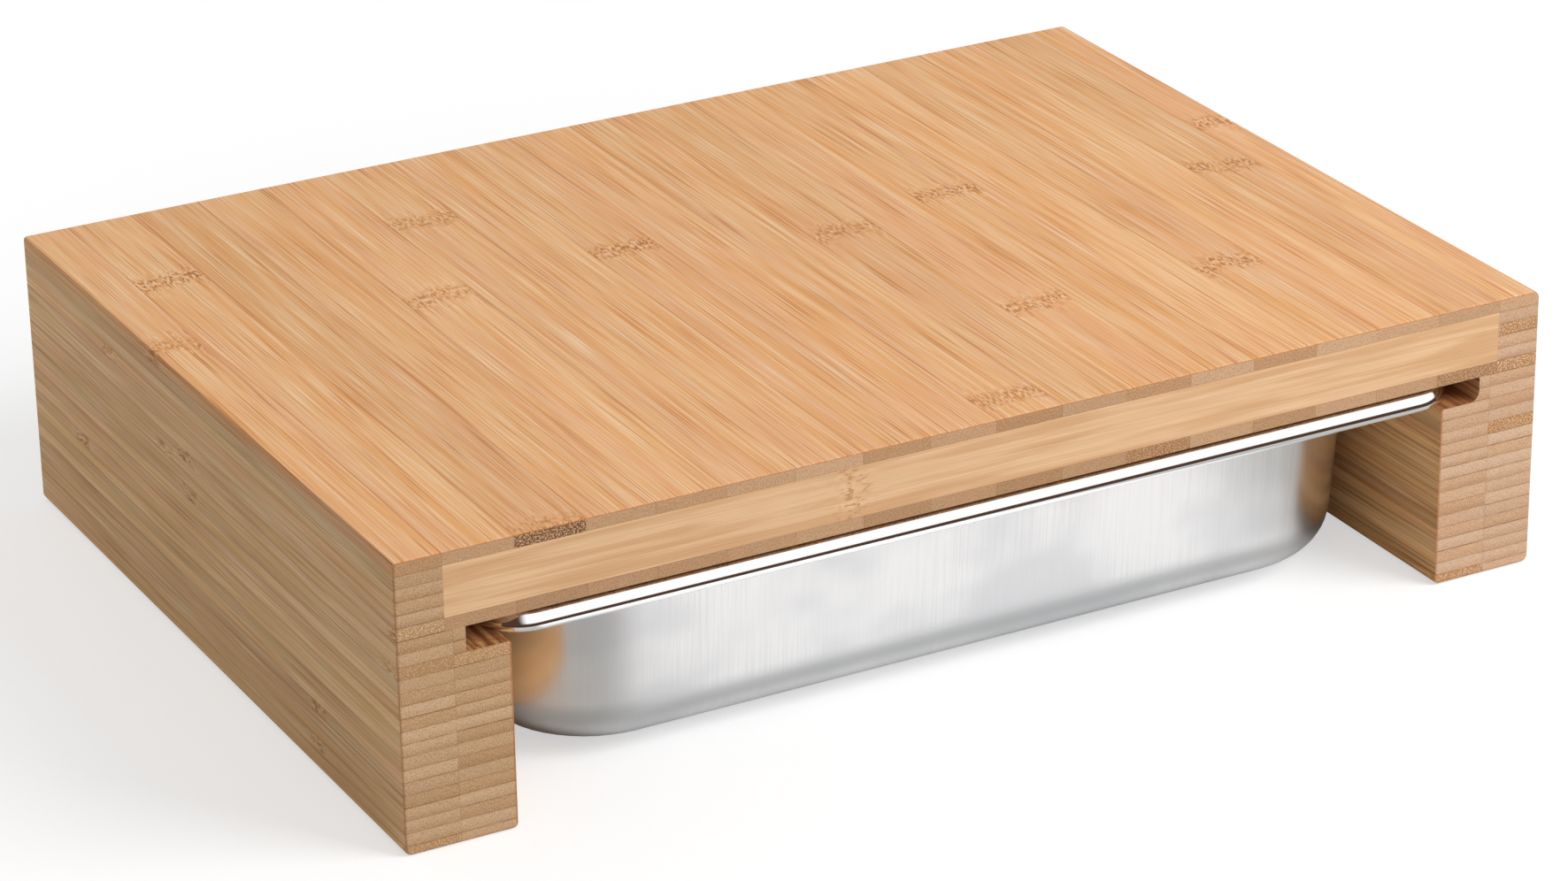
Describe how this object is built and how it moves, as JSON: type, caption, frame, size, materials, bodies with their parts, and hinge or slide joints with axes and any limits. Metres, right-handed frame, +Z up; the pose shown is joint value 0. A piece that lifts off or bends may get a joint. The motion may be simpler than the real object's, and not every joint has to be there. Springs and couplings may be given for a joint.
{
  "type": "cutting board with drawer tray",
  "caption": "Layered bamboo cutting board on two side blocks, with a sheet steel tray that slides in grooves under the board.",
  "frame": {"origin": "on the worktop, under the middle of the board", "axes": "+Z up, +X along the board's long side, the tray comes out towards -Y"},
  "size_m": [0.38, 0.275, 0.09],
  "materials": {
    "bamboo_top": "oiled bamboo, flat grain, light sanding",
    "bamboo_bottom_layer": "oiled bamboo, flat grain",
    "bamboo_core": "oiled bamboo, strips on edge, pale",
    "bamboo_side_block": "oiled bamboo, stacked flat strips",
    "steel_sheet": "stainless sheet, satin walls and a polished rim"
  },
  "bodies": {
    "board": {"top_strip_01": "bamboo_top", "top_strip_02": "bamboo_top", "top_strip_03": "bamboo_top", "top_strip_04": "bamboo_top", "top_strip_05": "bamboo_top", "top_strip_06": "bamboo_top", "top_strip_07": "bamboo_top", "top_strip_08": "bamboo_top", "top_strip_09": "bamboo_top", "top_strip_10": "bamboo_top", "top_strip_11": "bamboo_top", "top_strip_12": "bamboo_top", "top_strip_13": "bamboo_top", "top_strip_14": "bamboo_top", "top_strip_15": "bamboo_top", "top_strip_16": "bamboo_top", "bottom_strip_01": "bamboo_bottom_layer", "bottom_strip_02": "bamboo_bottom_layer", "bottom_strip_03": "bamboo_bottom_layer", "bottom_strip_04": "bamboo_bottom_layer", "bottom_strip_05": "bamboo_bottom_layer", "bottom_strip_06": "bamboo_bottom_layer", "bottom_strip_07": "bamboo_bottom_layer", "bottom_strip_08": "bamboo_bottom_layer", "bottom_strip_09": "bamboo_bottom_layer", "bottom_strip_10": "bamboo_bottom_layer", "bottom_strip_11": "bamboo_bottom_layer", "bottom_strip_12": "bamboo_bottom_layer", "bottom_strip_13": "bamboo_bottom_layer", "bottom_strip_14": "bamboo_bottom_layer", "bottom_strip_15": "bamboo_bottom_layer", "bottom_strip_16": "bamboo_bottom_layer", "core_front_strip": "bamboo_core", "core_inner_strips": "bamboo_core", "core_back_strip": "bamboo_core", "left_outer_top_strip": "bamboo_top", "left_outer_strips": "bamboo_side_block", "left_outer_bottom_strip": "bamboo_side_block", "left_groove_wall_strips": "bamboo_side_block", "left_runner_strip": "bamboo_side_block", "left_inner_strips": "bamboo_side_block", "left_inner_bottom_strip": "bamboo_side_block", "right_outer_top_strip": "bamboo_top", "right_outer_strips": "bamboo_side_block", "right_outer_bottom_strip": "bamboo_side_block", "right_groove_wall_strips": "bamboo_side_block", "right_runner_strip": "bamboo_side_block", "right_inner_strips": "bamboo_side_block", "right_inner_bottom_strip": "bamboo_side_block"},
    "tray": {"tray": "steel_sheet"}
  },
  "joints": [
    {"name": "tray_slide", "type": "slide", "parent": "board", "child": "tray", "axis": [0, -1, 0], "range_m": [0, 0.28]}
  ]
}
